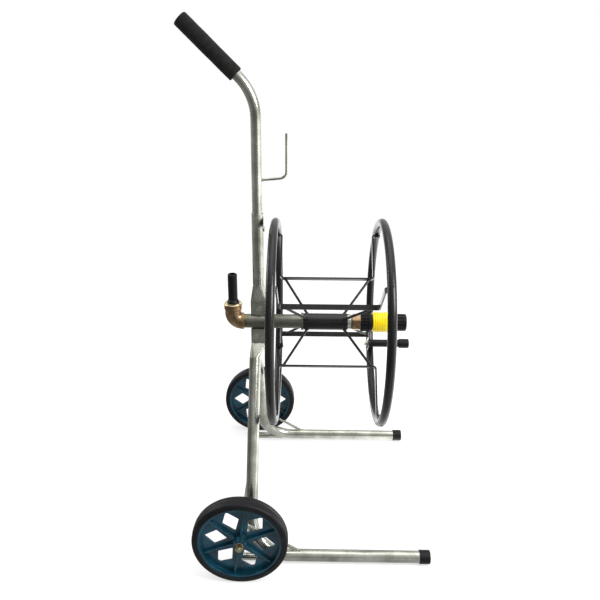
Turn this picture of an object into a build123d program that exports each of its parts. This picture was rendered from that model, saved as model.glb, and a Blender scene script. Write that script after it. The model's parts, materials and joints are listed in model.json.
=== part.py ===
import math
import os

from build123d import *
from build123d.topology import SkipClean

# A garden hose reel cart: a tubular frame on two wheels and two legs, with a wire reel on a water pipe.
# +X points forward, along the legs and the reel axis, +Y to the left, +Z up.
# The origin is on the ground, under the middle of the cart. Sizes are in millimetres.

# Main layout
axle_height = 395.0          # reel axis above the ground
leg_half_track = 202.0       # middle plane to the axis of one leg
leg_reach = 323.0            # column axis to the front of the leg caps
leg_back = 7.5               # column axis to the legs' uprights behind it
wheel_room = 15.0            # leg tube to the end of the wheel hub
contact_gap = 0.05           # room between pieces that touch on round faces

# Frame tubes
leg_od = 22.0
leg_wall = 1.5
leg_bend_radius = 72.0
leg_flat_thickness = 5.0
leg_flat_past = 0.5          # flattened leg end below the lug
leg_flat_taper = 30.0        # length over which the flattened end grows round
column_wall = 1.4
column_above_rim = 13.0      # column top above the top of the reel
column_flat_taper = 32.0
fork_wall = 1.9              # flattened column end on each side of the lug
fork_room = 3.0              # slot above the lug
flat_edge = 1.4              # flattened end past the edges of the lug
flat_corner = 2.2
section_flat = 0.01          # flat left on the sides of a round section, for its loft

# Handle
handle_od = 19.0
handle_wall = 1.5
handle_insert = 70.0         # length of handle tube inside the column
handle_slip = 0.1            # radial room of the handle tube in the column
handle_rise = 206.0          # column top to the corner of the handle
handle_angle = 46.0          # lean of the grip from upright
handle_bend_radius = 95.0
handle_bare = 3.7            # bare tube between the bend and the grip
grip_wall = 4.3
grip_length = 126.0
grip_end = 4.0               # foam past the tube end
grip_round = 2.5

# Hook for the hose end
hook_od = 5.0
hook_above_column = 60.5
hook_rise = 4.0
hook_reach = 53.0
hook_upright = 76.5
hook_bend_radius = 12.0

# Water pipe, its lugs and the frame's bolts
pipe_od = 27.0
pipe_wall = 3.5
pipe_back = 21.0             # column axis to the rear end
lug_thickness = 5.0
lug_edge = 3.8               # bolt hole to the edge of the lug
lug_slip = 0.1
column_clearance = 1.5       # column end above the pipe
leg_end_clearance = 1.0      # leg ends below the pipe
bolt_od = 6.0
bolt_slip = 0.2
bolt_rim = 2.0               # thread to the flats of a head or nut
bolt_room = 2.0              # half the room between neighbouring heads
bolt_head = 4.0
nut_height = 5.0
thread_tip = 2.0             # thread past a nut
upper_bolt_rise = 13.0       # column end to its bolt
upper_lug_end = 11.0         # that bolt to the top of the lug
lower_bolt_fall = 15.5       # leg ends to their bolts
lower_lug_end = 13.0         # those bolts to the bottom of the lug
handle_bolt_drop = 10.0      # handle bolt below the column top
handle_screw_drop = 19.0     # handle screw below that bolt
handle_screw_length = 9.0
screw_head_lip = 2.0         # thread to the edge of the screw's head
screw_head = 2.2
screw_round = 1.2

# Inlet
elbow_collar = 10.6          # straight run between the pipe and the bend
elbow_land = 3.0             # part of that run as thick as the bend
elbow_throat = 1.4           # inside radius of the bend
elbow_wall = 9.0
elbow_rise = 20.6            # straight run above the bend
elbow_bead_wall = 6.4
elbow_bead_height = 15.0
elbow_bead_chamfer = 3.0
elbow_spigot_wall = 3.0
elbow_spigot_length = 20.0
elbow_socket_depth = 14.0
tail_od = 18.0
tail_shoulder = 2.0          # stem to the outside of the thread
tail_wall = 2.5
tail_length = 57.0           # stem above the elbow
tail_chamfer = 1.5

# Leg caps, heel bars and wheel axle
cap_wall = 1.5
cap_length = 20.0
cap_end = 3.0
cap_round = 2.0
heel_od = 13.0
heel_lift = 1.0
heel_back = 24.0             # leg axis to the rear end of a heel bar
heel_front = 44.0
axle_od = 8.0
axle_sink = 2.0              # depth of the axle in its notches behind the legs
stay_thickness = 4.0
stay_width = 5.0
stay_eye_rim = 4.5
stay_foot_x = 97.0           # column axis to the middle of the stay's foot

# Wheels
wheel_od = 168.0
tyre_width = 28.0
tyre_depth = 10.5
tyre_shoulder = 4.5
barrel_inset = 2.0           # tyre edge to the edge of the barrel
barrel_wall = 4.5
web_thickness = 4.0
hub_past = 3.0               # hub end past the tyre edge
hub_wall = 4.0
hub_draft = 3.0              # growth of the hub's radius towards the web
bush_wall = 2.92
bush_slip = 0.06
bush_fit = 0.02
window_count = 6
window_hub_gap = 7.0         # hub root to the inner corner
window_rim = 5.0             # outer corner to the barrel
window_shoulder = 21.0       # outer corner to the widest place
window_half_width = 15.5
window_corner = 1.2
left_wheel_turn = 0.0        # first window from straight ahead
right_wheel_turn = 9.0
rib_thickness = 3.5
rib_inset = 5.0              # barrel edge to the edge of a rib
washer_width = 2.8
washer_thickness = 2.0
hub_play = 0.3
axle_nut_rim = 2.2
axle_nut_height = 5.5
axle_chamfer = 1.0

# Reel
rim_radius = 190.0
rim_od = 16.0
rim_wall = 1.2
rim_spacing = 200.0
reel_room = 8.0              # frame bolt heads to the rear rim
core_wall = 1.5
core_bush_wall = 0.92
core_from_rim = 54.0         # rear rim to the rear end of the core
core_length = 84.5
core_bush_length = 16.0
core_slip = 0.08
stop_wall = 3.5
stop_length = 4.0
collar_wall = 1.5
collar_length = 6.0
end_play = 0.3
strip_count = 4
strip_edge = 2.0             # crank pin to the edge of a strip
strip_thickness = 3.0
strip_turn = 50.0            # angle of the first strip from the left
drum_radius = 88.0
drum_bend_radius = 5.0
foot_bend_radius = 4.0
spoke_inset = 9.0            # rim plane to the spoke
foot_past_rim = 6.0
strut_od = 5.0
strut_core_inset = 17.0      # strut foot from the end of the core
strut_bar_inset = 8.0        # strut head from the spoke
rivet_od = 5.0
rivet_slip = 0.1
rivet_head_od = 8.0
rivet_head = 2.0
rivet_tip = 0.5

# Crank
crank_plate_gap = 1.4        # plate to the bend of the strip's foot
crank_plate_outward = 21.5   # pin to the outer end of the plate
crank_plate_inward = 18.0
crank_plate_width = 24.0
crank_plate_thickness = 3.0
crank_plate_corner = 5.0
crank_pin_od = 6.0
crank_slip = 0.08
crank_grip_wall = 4.92
crank_grip_length = 84.0
crank_knob_step = 2.0
crank_knob_length = 22.0
crank_head_lip = 2.5
crank_head = 3.0
crank_head_room = 1.0
crank_recess = 6.0
crank_round = 2.5

# Hose connector at the front of the pipe
swivel_room = 3.5            # collar to the rear of the nut
swivel_grip = 8.7            # nut over the end of the pipe
swivel_wall = 1.4
swivel_slip = 0.1
swivel_flange = 4.35
swivel_corner_cut = 0.5      # taken off the corners of the nut
seal_width = 3.5
seal_thickness = 2.0
seal_gap = 0.15
adaptor_od = 36.0
adaptor_length = 22.0
adaptor_flutes = 18
adaptor_flute_od = 4.0
adaptor_spigot_gap = 0.35    # spigot short of the seal
water_bore = 10.0
nipple_wall = 3.0
nipple_length = 24.0
body_bore_slip = 0.2
body_wall = 4.8
body_gap = 1.0
body_neck_step = 2.0
body_neck_length = 8.0
ring_seal_od = 2.0
sleeve_slip = 0.3
sleeve_wall = 6.2
sleeve_length = 36.0
sleeve_travel = 8.5          # room for the sleeve to slide
sleeve_grooves = 5
sleeve_groove_pitch = 4.5
sleeve_groove_depth = 1.2
sleeve_groove_width = 2.0
sleeve_chamfer = 1.5
hose_nut_wall = 5.5
hose_nut_length = 20.0
hose_nut_flutes = 14
hose_nut_flute_od = 3.5
hose_bore = 16.5

# Sizes that follow from the ones above
column_od = handle_od + 2 * (handle_slip + column_wall)
column_top = axle_height + rim_radius + rim_od / 2 + column_above_rim
column_flat_thickness = lug_thickness + 2 * (lug_slip + fork_wall)
grip_od = handle_od + 2 * grip_wall
lean = math.radians(handle_angle)
handle_arm = handle_bend_radius * math.tan(lean / 2) + handle_bare + grip_length - grip_end
handle_corner_height = column_top + handle_rise
handle_bolt_height = column_top - handle_bolt_drop
handle_screw_height = handle_bolt_height - handle_screw_drop
hook_height = column_top + hook_above_column
hook_top = hook_height + hook_rise + hook_upright
bolt_across = bolt_od + 2 * bolt_rim
lower_bolt_half_pitch = bolt_across / 2 + bolt_room
lug_width = 2 * (lower_bolt_half_pitch + bolt_od / 2 + bolt_slip + lug_edge)
flat_width = lug_width + 2 * (lug_slip + flat_edge)
column_end = pipe_od / 2 + column_clearance
upper_bolt_height = column_end + upper_bolt_rise
upper_lug_top = upper_bolt_height + upper_lug_end
column_flat_length = upper_lug_top + fork_room - column_end
leg_end = pipe_od / 2 + leg_end_clearance
lower_bolt_drop = leg_end + lower_bolt_fall
lower_lug_bottom = lower_bolt_drop + lower_lug_end
leg_flat_length = lower_lug_bottom + leg_flat_past - leg_end
elbow_bore = pipe_od - 2 * (pipe_wall + elbow_spigot_wall)
elbow_od = elbow_bore + 2 * elbow_wall
elbow_bend_radius = elbow_od / 2 + elbow_throat
elbow_centre_back = pipe_back + elbow_collar + elbow_bend_radius
elbow_top = elbow_bend_radius + elbow_rise
tail_thread_od = tail_od + 2 * tail_shoulder
tail_bore = tail_od - 2 * tail_wall
tail_top = elbow_top + tail_length
elbow_bead_od = tail_thread_od + 2 * elbow_bead_wall
cap_od = leg_od + 2 * cap_wall
stay_eye_od = axle_od + 2 * stay_eye_rim
wheel_radius = wheel_od / 2
barrel_width = tyre_width - 2 * barrel_inset
barrel_radius = wheel_radius - tyre_depth
rib_width = barrel_width - 2 * rib_inset
hub_length = tyre_width + 2 * hub_past
wheel_half_track = leg_half_track + leg_od / 2 + wheel_room + hub_length / 2
bush_od = axle_od + 2 * (bush_slip + bush_wall)
hub_bore = bush_od + 2 * bush_fit
hub_end_od = hub_bore + 2 * hub_wall
hub_root_od = hub_end_od + 2 * hub_draft
window_inner = hub_root_od / 2 + window_hub_gap
window_outer = barrel_radius - barrel_wall - window_rim
window_middle = window_outer - window_shoulder
washer_od = axle_od + 2 * washer_width
axle_nut_across = axle_od + 2 * axle_nut_rim
rear_rim_offset = column_od / 2 + bolt_head + reel_room + rim_od / 2
core_bore = pipe_od + 2 * (core_slip + core_bush_wall)
core_od = core_bore + 2 * core_wall
stop_od = pipe_od + 2 * stop_wall
collar_od = pipe_od + 2 * collar_wall
strip_width = crank_pin_od + 2 * strip_edge
crank_strip = strip_count - 1    # the last strip carries the crank
foot_radius = rim_radius - rim_od / 2 - strip_thickness / 2 - contact_gap
crank_plate_outer = foot_radius - foot_bend_radius - crank_plate_gap
crank_radius = crank_plate_outer - crank_plate_outward
crank_plate_inner = crank_radius - crank_plate_inward
crank_grip_od = crank_pin_od + 2 * (crank_slip + crank_grip_wall)
crank_knob_od = crank_grip_od + 2 * crank_knob_step
crank_head_od = crank_pin_od + 2 * crank_head_lip
crank_recess_od = crank_head_od + 2 * crank_head_room
crank_nut_across = crank_pin_od + 2 * bolt_rim
swivel_across = pipe_od + 2 * (swivel_slip + swivel_wall)
swivel_length = swivel_grip + seal_gap + seal_thickness + swivel_flange
swivel_throat = pipe_od - 2 * seal_width
adaptor_spigot = swivel_flange - adaptor_spigot_gap
nipple_od = water_bore + 2 * nipple_wall
body_od = nipple_od + 2 * (body_bore_slip + body_wall)
body_length = sleeve_length + sleeve_travel
body_neck_od = body_od - 2 * body_neck_step
sleeve_od = body_od + 2 * (sleeve_slip + sleeve_wall)
hose_nut_od = body_neck_od + 2 * hose_nut_wall

# Places, with the middle of the cart's length at X zero
grip_back = (handle_arm + grip_end - grip_round) * math.sin(lean)
grip_back = grip_back + (grip_od / 2 - grip_round) * math.cos(lean) + grip_round
column_x = (grip_back - leg_reach) / 2
leg_x = column_x - leg_back
leg_z = cap_od / 2
axle_x = leg_x - leg_od / 2 - axle_od / 2 + axle_sink
hub_outer = wheel_half_track + hub_length / 2
hub_inner = wheel_half_track - hub_length / 2
rear_rim_x = column_x + rear_rim_offset
front_rim_x = rear_rim_x + rim_spacing
core_x = rear_rim_x + core_from_rim
core_end_x = core_x + core_length
collar_x = core_end_x + end_play
swivel_x = collar_x + collar_length + swivel_room
pipe_end_x = swivel_x + swivel_grip
adaptor_x = swivel_x + swivel_length
body_x = adaptor_x + adaptor_length + body_gap
hose_nut_x = body_x + body_length


def along_x(radius, x0, x1, y=0.0, z=axle_height):
    rod = Cylinder(radius, x1 - x0, align=(Align.CENTER, Align.CENTER, Align.MIN))
    return Pos(x0, y, z) * Rot(0, 90, 0) * rod


def along_y(radius, y0, y1, x, z):
    rod = Cylinder(radius, y1 - y0, align=(Align.CENTER, Align.CENTER, Align.MIN))
    return Pos(x, y0, z) * Rot(-90, 0, 0) * rod


def hex_along_x(across, x0, x1, y=0.0, z=axle_height):
    block = extrude(RegularPolygon(across / 2, 6, major_radius=False), x1 - x0)
    return Pos(x0, y, z) * Rot(0, 90, 0) * block


def hex_along_y(across, y0, y1, x, z):
    block = extrude(RegularPolygon(across / 2, 6, major_radius=False), y1 - y0)
    return Pos(x, y0, z) * Rot(-90, 0, 0) * block


def bar_along(path, section):
    start = Plane(origin=path @ 0, x_dir=(0, 1, 0), z_dir=path % 0)
    return sweep(start * section, path=path)


def rod_along(path, od):
    start = Plane(origin=path @ 0, z_dir=path % 0)
    return sweep(start * Circle(od / 2), path=path)


def turned(shape, angle):
    # turn about the reel axis, from straight up to an angle measured from the left
    return Pos(0, 0, axle_height) * Rot(angle - 90, 0, 0) * Pos(0, 0, -axle_height) * shape


def strip_angle(index):
    return strip_turn + 360.0 / strip_count * index


def mirrored(shape, side):
    return shape if side > 0 else mirror(shape, about=Plane.XZ)


def group(solids):
    return Compound(children=list(solids))


# Column and handle

def handle_path():
    foot = (column_x, 0, column_top - handle_insert)
    corner = (column_x, 0, handle_corner_height)
    tip_x = column_x - handle_arm * math.sin(lean)
    tip = (tip_x, 0, handle_corner_height + handle_arm * math.cos(lean))
    return FilletPolyline(foot, corner, tip, radius=handle_bend_radius)


def handle_bolt_holes():
    radius = bolt_od / 2 + bolt_slip
    across = along_y(radius, -column_od, column_od, column_x, handle_bolt_height)
    return across + along_x(radius, column_x, column_x + column_od, 0, handle_screw_height)


def hook_rod():
    inner = (column_x + handle_od / 2 - handle_wall, 0, hook_height)
    corner = (column_x + hook_reach, 0, hook_height + hook_rise)
    top = (column_x + hook_reach, 0, hook_top)
    return rod_along(FilletPolyline(inner, corner, top, radius=hook_bend_radius), hook_od)


def handle_bore():
    return rod_along(handle_path(), handle_od - 2 * handle_wall)


def handle_tube():
    tube = rod_along(handle_path(), handle_od) - handle_bore()
    return tube - handle_bolt_holes() - hook_rod()


def hose_hook():
    return hook_rod() - handle_bore()


def handle_grip():
    top = Plane(origin=handle_path() @ 1, z_dir=handle_path() % 1)
    foam = Cylinder(grip_od / 2, grip_length, align=(Align.CENTER, Align.CENTER, Align.MIN))
    foam = fillet(foam.edges().filter_by(GeomType.CIRCLE), grip_round)
    bore = Cylinder(handle_od / 2, grip_length - grip_end, align=(Align.CENTER, Align.CENTER, Align.MIN))
    return top * Pos(0, 0, grip_end - grip_length) * (foam - bore)


def flat_section(thickness):
    return RectangleRounded(flat_width, thickness, flat_corner)


def round_section(od):
    return RectangleRounded(od, od, od / 2 - section_flat)


def column_end_height():
    return axle_height + column_end


def column_tube():
    bottom = column_end_height()
    flat_top = bottom + column_flat_length
    round_start = flat_top + column_flat_taper
    flat = extrude(Pos(column_x, 0, bottom) * flat_section(column_flat_thickness), column_flat_length)
    lower = Pos(column_x, 0, flat_top) * flat_section(column_flat_thickness)
    upper = Pos(column_x, 0, round_start) * round_section(column_od)
    taper = loft([lower.face(), upper.face()])
    tube = extrude(Pos(column_x, 0, round_start) * Circle(column_od / 2), column_top - round_start)
    bore = Circle(handle_od / 2 + handle_slip)
    bore = extrude(Pos(column_x, 0, round_start) * bore, column_top - round_start)
    slot = Pos(column_x, 0, bottom) * Box(
        lug_width + 2 * lug_slip, lug_thickness + 2 * lug_slip, column_flat_length,
        align=(Align.CENTER, Align.CENTER, Align.MIN))
    hole = along_y(
        bolt_od / 2 + bolt_slip, -column_od, column_od, column_x, axle_height + upper_bolt_height)
    return flat + taper + tube - bore - slot - hole - handle_bolt_holes()


def bolt_along_y(x, z, half_grip):
    shank = along_y(bolt_od / 2, -half_grip, half_grip + nut_height + thread_tip, x, z)
    return shank + hex_along_y(bolt_across, -half_grip - bolt_head, -half_grip, x, z)


def nut_along_y(x, z, half_grip):
    nut = hex_along_y(bolt_across, half_grip, half_grip + nut_height, x, z)
    return nut - along_y(bolt_od / 2, half_grip, half_grip + nut_height, x, z)


def handle_bolt():
    return bolt_along_y(column_x, handle_bolt_height, column_od / 2)


def handle_nut():
    return nut_along_y(column_x, handle_bolt_height, column_od / 2)


def handle_screw():
    face = column_x + column_od / 2
    head = along_x(bolt_od / 2 + screw_head_lip, face, face + screw_head, 0, handle_screw_height)
    head = fillet(head.edges().filter_by(GeomType.CIRCLE).sort_by(Axis.X)[-1], screw_round)
    return head + along_x(bolt_od / 2, face - handle_screw_length, face, 0, handle_screw_height)


# Water pipe, its lugs and the inlet

def pipe_solid():
    return along_x(pipe_od / 2, column_x - pipe_back, pipe_end_x)


def axle_pipe():
    bore = along_x(pipe_od / 2 - pipe_wall, column_x - pipe_back, pipe_end_x)
    return pipe_solid() - bore


def lower_bolt_places():
    return [column_x - lower_bolt_half_pitch, column_x + lower_bolt_half_pitch]


def upper_lug():
    plate = Pos(column_x, 0, axle_height) * Box(
        lug_width, lug_thickness, upper_lug_top, align=(Align.CENTER, Align.CENTER, Align.MIN))
    hole = along_y(
        bolt_od / 2 + bolt_slip, -lug_width, lug_width, column_x, axle_height + upper_bolt_height)
    return plate - pipe_solid() - hole


def lower_bolt_holes():
    radius = bolt_od / 2 + bolt_slip
    height = axle_height - lower_bolt_drop
    holes = [along_y(radius, -lug_width, lug_width, x, height) for x in lower_bolt_places()]
    return holes[0] + holes[1]


def lower_lug():
    plate = Pos(column_x, 0, axle_height) * Box(
        lug_width, lug_thickness, lower_lug_bottom, align=(Align.CENTER, Align.CENTER, Align.MAX))
    return plate - pipe_solid() - lower_bolt_holes()


def frame_bolts():
    low = axle_height - lower_bolt_drop
    half = lug_thickness / 2 + leg_flat_thickness
    bolts = [bolt_along_y(x, low, half) for x in lower_bolt_places()]
    return group(bolts + [bolt_along_y(column_x, axle_height + upper_bolt_height, column_flat_thickness / 2)])


def frame_nuts():
    low = axle_height - lower_bolt_drop
    half = lug_thickness / 2 + leg_flat_thickness
    nuts = [nut_along_y(x, low, half) for x in lower_bolt_places()]
    return group(nuts + [nut_along_y(column_x, axle_height + upper_bolt_height, column_flat_thickness / 2)])


def elbow_path(start):
    mouth = (start, 0, axle_height)
    corner = (column_x - elbow_centre_back, 0, axle_height)
    top = (column_x - elbow_centre_back, 0, axle_height + elbow_top)
    return FilletPolyline(mouth, corner, top, radius=elbow_bend_radius)


def tail_socket(radius):
    deep = elbow_top - elbow_socket_depth
    socket = Cylinder(radius, elbow_socket_depth, align=(Align.CENTER, Align.CENTER, Align.MIN))
    return Pos(column_x - elbow_centre_back, 0, axle_height + deep) * socket


def brass_elbow():
    bead = Pos(column_x - elbow_centre_back, 0, axle_height + elbow_top) * Cylinder(
        elbow_bead_od / 2, elbow_bead_height, align=(Align.CENTER, Align.CENTER, Align.MAX))
    bead = chamfer(bead.edges().filter_by(GeomType.CIRCLE), elbow_bead_chamfer)
    start = column_x - pipe_back
    body_start = start - elbow_collar + elbow_land
    collar = along_x(pipe_od / 2, body_start, start)
    spigot = along_x(pipe_od / 2 - pipe_wall, start, start + elbow_spigot_length)
    body = rod_along(elbow_path(body_start), elbow_od) + collar + bead + spigot
    water = rod_along(elbow_path(start), elbow_bore)
    water = water + along_x(elbow_bore / 2, start, start + elbow_spigot_length)
    return body - water - tail_socket(tail_thread_od / 2)


def inlet_tail():
    x = column_x - elbow_centre_back
    stem_length = tail_top - elbow_top
    stem = Pos(x, 0, axle_height + elbow_top) * Cylinder(
        tail_od / 2, stem_length, align=(Align.CENTER, Align.CENTER, Align.MIN))
    stem = chamfer(stem.edges().filter_by(GeomType.CIRCLE).sort_by(Axis.Z)[-1], tail_chamfer)
    bore = Pos(x, 0, axle_height) * Cylinder(
        tail_bore / 2, tail_top, align=(Align.CENTER, Align.CENTER, Align.MIN))
    return stem + tail_socket(tail_thread_od / 2) - bore


# Legs, axle and wheels, made for the left side and mirrored

def leg_flat_top():
    return axle_height - leg_end


def leg_root():
    y = lug_thickness / 2 + leg_flat_thickness / 2
    return Vector(leg_x, y, leg_flat_top() - leg_flat_length)


def leg_corner():
    return Vector(leg_x, leg_half_track, leg_z)


def leg_path():
    slope = (leg_corner() - leg_root()).normalized()
    start = leg_root() + slope * leg_flat_taper
    front = Vector(column_x + leg_reach - cap_end, leg_half_track, leg_z)
    return FilletPolyline(start, leg_corner(), front, radius=leg_bend_radius)


def leg_outer():
    return rod_along(leg_path(), leg_od)


def leg_tube(side):
    root = leg_root()
    slope = (leg_corner() - root).normalized()
    flat_root = root + Vector(leg_back, 0, 0)
    flat = Plane(origin=flat_root, x_dir=(1, 0, 0), z_dir=(0, 0, -1)) * flat_section(leg_flat_thickness)
    start = Plane(origin=root + slope * leg_flat_taper, x_dir=(1, 0, 0), z_dir=slope)
    taper = loft([flat.face(), (start * round_section(leg_od)).face()])
    plate = extrude(flat, -leg_flat_length)
    tube = leg_outer() - rod_along(leg_path(), leg_od - 2 * leg_wall)
    notch = along_y(axle_od / 2 + contact_gap, 0, leg_half_track, axle_x, wheel_radius)
    return mirrored(tube + taper + plate - lower_bolt_holes() - notch, side)


def leg_cap(side):
    end = column_x + leg_reach
    cup = along_x(cap_od / 2, end - cap_length, end, leg_half_track, leg_z)
    cup = fillet(cup.edges().filter_by(GeomType.CIRCLE).sort_by(Axis.X)[-1], cap_round)
    seat = along_x(leg_od / 2, end - cap_length, end - cap_end, leg_half_track, leg_z)
    return mirrored(cup - seat, side)


def heel_bar(side):
    z = heel_od / 2 + heel_lift
    bar = along_x(heel_od / 2, leg_x - heel_back, leg_x + heel_front, leg_half_track, z)
    return mirrored(bar - leg_outer(), side)


def axle_stay(side):
    foot_x = column_x + stay_foot_x
    run = foot_x - axle_x
    drop = wheel_radius - leg_z
    length = math.hypot(run, drop)
    tilt = math.degrees(math.atan2(drop, run))
    strip = Box(length, stay_thickness, stay_width, align=(Align.MIN, Align.CENTER, Align.CENTER))
    strip = Pos(axle_x, leg_half_track, wheel_radius) * Rot(0, tilt, 0) * strip
    half = stay_thickness / 2
    eye = along_y(stay_eye_od / 2, leg_half_track - half, leg_half_track + half, axle_x, wheel_radius)
    hole = along_y(axle_od / 2, leg_half_track - half, leg_half_track + half, axle_x, wheel_radius)
    return mirrored(strip + eye - hole - leg_outer(), side)


def wheel_axle():
    half = hub_outer + hub_play + washer_thickness + axle_nut_height + thread_tip
    rod = along_y(axle_od / 2, -half, half, axle_x, wheel_radius)
    return chamfer(rod.edges().filter_by(GeomType.CIRCLE), axle_chamfer)


def axle_ring(y0, y1):
    ring = along_y(washer_od / 2, y0, y1, axle_x, wheel_radius)
    return ring - along_y(axle_od / 2, y0, y1, axle_x, wheel_radius)


def axle_spacers():
    ring = axle_ring(leg_half_track + stay_thickness / 2, hub_inner - hub_play)
    return group([ring, mirrored(ring, -1)])


def axle_washers():
    ring = axle_ring(hub_outer + hub_play, hub_outer + hub_play + washer_thickness)
    return group([ring, mirrored(ring, -1)])


def axle_nuts():
    y0 = hub_outer + hub_play + washer_thickness
    nut = hex_along_y(axle_nut_across, y0, y0 + axle_nut_height, axle_x, wheel_radius)
    nut = nut - along_y(axle_od / 2, y0, y0 + axle_nut_height, axle_x, wheel_radius)
    return group([nut, mirrored(nut, -1)])


def on_axle(shape, side):
    return mirrored(Pos(axle_x, wheel_half_track, wheel_radius) * Rot(-90, 0, 0) * shape, side)


def wheel_window():
    points = [(window_inner, 0), (window_middle, window_half_width), (window_outer, 0)]
    points.append((window_middle, -window_half_width))
    diamond = make_face(Polyline(*points, close=True))
    diamond = fillet(diamond.vertices(), window_corner)
    return extrude(diamond, barrel_width, both=True)


def wheel_disc(side, first_turn):
    barrel = Cylinder(barrel_radius, barrel_width) - Cylinder(barrel_radius - barrel_wall, barrel_width)
    disc = barrel + Cylinder(barrel_radius - barrel_wall / 2, web_thickness)
    rib_length = barrel_radius - barrel_wall / 2
    rib = Box(rib_length, rib_thickness, rib_width, align=(Align.MIN, Align.CENTER, Align.CENTER))
    for index in range(window_count):
        turn = Rot(0, 0, first_turn + 360.0 / window_count * index)
        disc = disc - turn * wheel_window()
        disc = disc + turn * Rot(0, 0, 180.0 / window_count) * rib
    half = hub_length / 2
    cone = Cone(hub_root_od / 2, hub_end_od / 2, half, align=(Align.CENTER, Align.CENTER, Align.MIN))
    hub = cone + mirror(cone, about=Plane.XY)
    return on_axle(disc + hub - Cylinder(hub_bore / 2, hub_length), side)


def tyre(side):
    section = Pos(wheel_radius - tyre_depth / 2, 0) * Rectangle(tyre_depth, tyre_width)
    outer = section.vertices().group_by(Axis.X)[-1]
    section = fillet(outer, tyre_shoulder)
    ring = revolve(Plane.XZ * section, Axis.Z)
    return on_axle(ring, side)


def hub_bush(side):
    ring = Cylinder(bush_od / 2, hub_length) - Cylinder(axle_od / 2 + bush_slip, hub_length)
    return on_axle(ring, side)


# Reel

def rear_stop():
    ring = along_x(stop_od / 2, core_x - end_play - stop_length, core_x - end_play)
    return ring - pipe_solid()


def front_collar():
    return along_x(collar_od / 2, collar_x, collar_x + collar_length) - pipe_solid()


def core_solid():
    return along_x(core_od / 2, core_x, core_end_x)


def reel_core():
    return core_solid() - along_x(core_bore / 2, core_x, core_end_x)


def core_bush(x0):
    ring = along_x(core_bore / 2, x0, x0 + core_bush_length)
    return ring - along_x(pipe_od / 2 + core_slip, x0, x0 + core_bush_length)


def spoke_plane(front):
    return front_rim_x - spoke_inset if front else rear_rim_x + spoke_inset


def rivet_shank(x, radius):
    low = foot_radius - strip_thickness / 2
    length = rim_radius + rim_od / 2 + rivet_tip - low
    shank = Cylinder(radius, length, align=(Align.CENTER, Align.CENTER, Align.MIN))
    return Pos(x, 0, axle_height + low) * shank


def drum_strip(index):
    front, rear = spoke_plane(True), spoke_plane(False)
    foot = axle_height + foot_radius
    bar = axle_height + drum_radius
    points = [(front_rim_x + foot_past_rim, 0, foot), (front, 0, foot), (front, 0, bar)]
    points += [(rear, 0, bar), (rear, 0, foot), (rear_rim_x - foot_past_rim, 0, foot)]
    bends = [foot_bend_radius, drum_bend_radius, drum_bend_radius, foot_bend_radius]
    strip = bar_along(FilletPolyline(*points, radius=bends), Rectangle(strip_width, strip_thickness))
    for x in (rear_rim_x, front_rim_x):
        strip = strip - rivet_shank(x, rivet_od / 2 + rivet_slip)
    strip = turned(strip, strip_angle(index))
    return strip - crank_pin_hole() if index == crank_strip else strip


def rim(x):
    # one arc for each spoke, with its rivet hole in the middle, joined without merging the round faces
    arc = 360.0 / strip_count
    section = Circle(rim_od / 2) - Circle(rim_od / 2 - rim_wall)
    segment = revolve(Plane.XZ * Pos(rim_radius, 0) * section, Axis.Z, arc)
    segment = Pos(x, 0, axle_height) * Rot(0, -90, 0) * Rot(0, 0, -arc / 2) * segment
    segment = segment - rivet_shank(x, rivet_od / 2 + rivet_slip)
    ring = turned(segment, strip_angle(0))
    with SkipClean():
        for index in range(1, strip_count):
            ring = ring + turned(segment, strip_angle(index))
    return ring


def rim_rivets():
    head_top = axle_height + foot_radius - strip_thickness / 2
    rivets = []
    for x in (rear_rim_x, front_rim_x):
        head = Pos(x, 0, head_top) * Cylinder(
            rivet_head_od / 2, rivet_head, align=(Align.CENTER, Align.CENTER, Align.MAX))
        rivet = rivet_shank(x, rivet_od / 2) + head
        rivets += [turned(rivet, strip_angle(index)) for index in range(strip_count)]
    return group(rivets)


def struts(front):
    inward = -1 if front else 1
    core_end = core_end_x if front else core_x
    foot = Vector(core_end + inward * strut_core_inset, 0, axle_height)
    head = Vector(spoke_plane(front) + inward * strut_bar_inset, 0, axle_height + drum_radius)
    rod = rod_along(Line(foot, head), strut_od) - core_solid()
    bar_underside = drum_radius - strip_thickness / 2
    below_bar = Box(rim_spacing, strip_width, bar_underside, align=(Align.CENTER, Align.CENTER, Align.MIN))
    rod = rod & Pos(foot.X, 0, axle_height) * below_bar
    return group([turned(rod, strip_angle(index)) for index in range(strip_count)])


# Crank

def crank_place():
    angle = math.radians(strip_angle(crank_strip))
    return crank_radius * math.cos(angle), axle_height + crank_radius * math.sin(angle)


def plate_back_x():
    return spoke_plane(True) + strip_thickness / 2


def crank_pin_hole():
    y, z = crank_place()
    start = plate_back_x() - 2 * strip_thickness
    return along_x(crank_pin_od / 2, start, plate_back_x() + 2 * crank_plate_thickness, y, z)


def crank_plate():
    length = crank_plate_outer - crank_plate_inner
    outline = RectangleRounded(length, crank_plate_width, crank_plate_corner)
    plate = extrude(outline, crank_plate_thickness)
    plate = Rot(0, 90, 0) * plate
    plate = Pos(plate_back_x(), 0, axle_height + crank_plate_inner + length / 2) * plate
    return turned(plate, strip_angle(crank_strip)) - crank_pin_hole()


def grip_start_x():
    return plate_back_x() + crank_plate_thickness + end_play


def recess_floor_x():
    return grip_start_x() + crank_grip_length - crank_recess


def crank_pin():
    y, z = crank_place()
    back = plate_back_x() - strip_thickness
    head_x = recess_floor_x() + end_play
    shank = along_x(crank_pin_od / 2, back - nut_height, head_x, y, z)
    return shank + along_x(crank_head_od / 2, head_x, head_x + crank_head, y, z)


def crank_nut():
    y, z = crank_place()
    back = plate_back_x() - strip_thickness
    nut = hex_along_x(crank_nut_across, back - nut_height, back, y, z)
    return nut - along_x(crank_pin_od / 2, back - nut_height, back, y, z)


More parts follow.
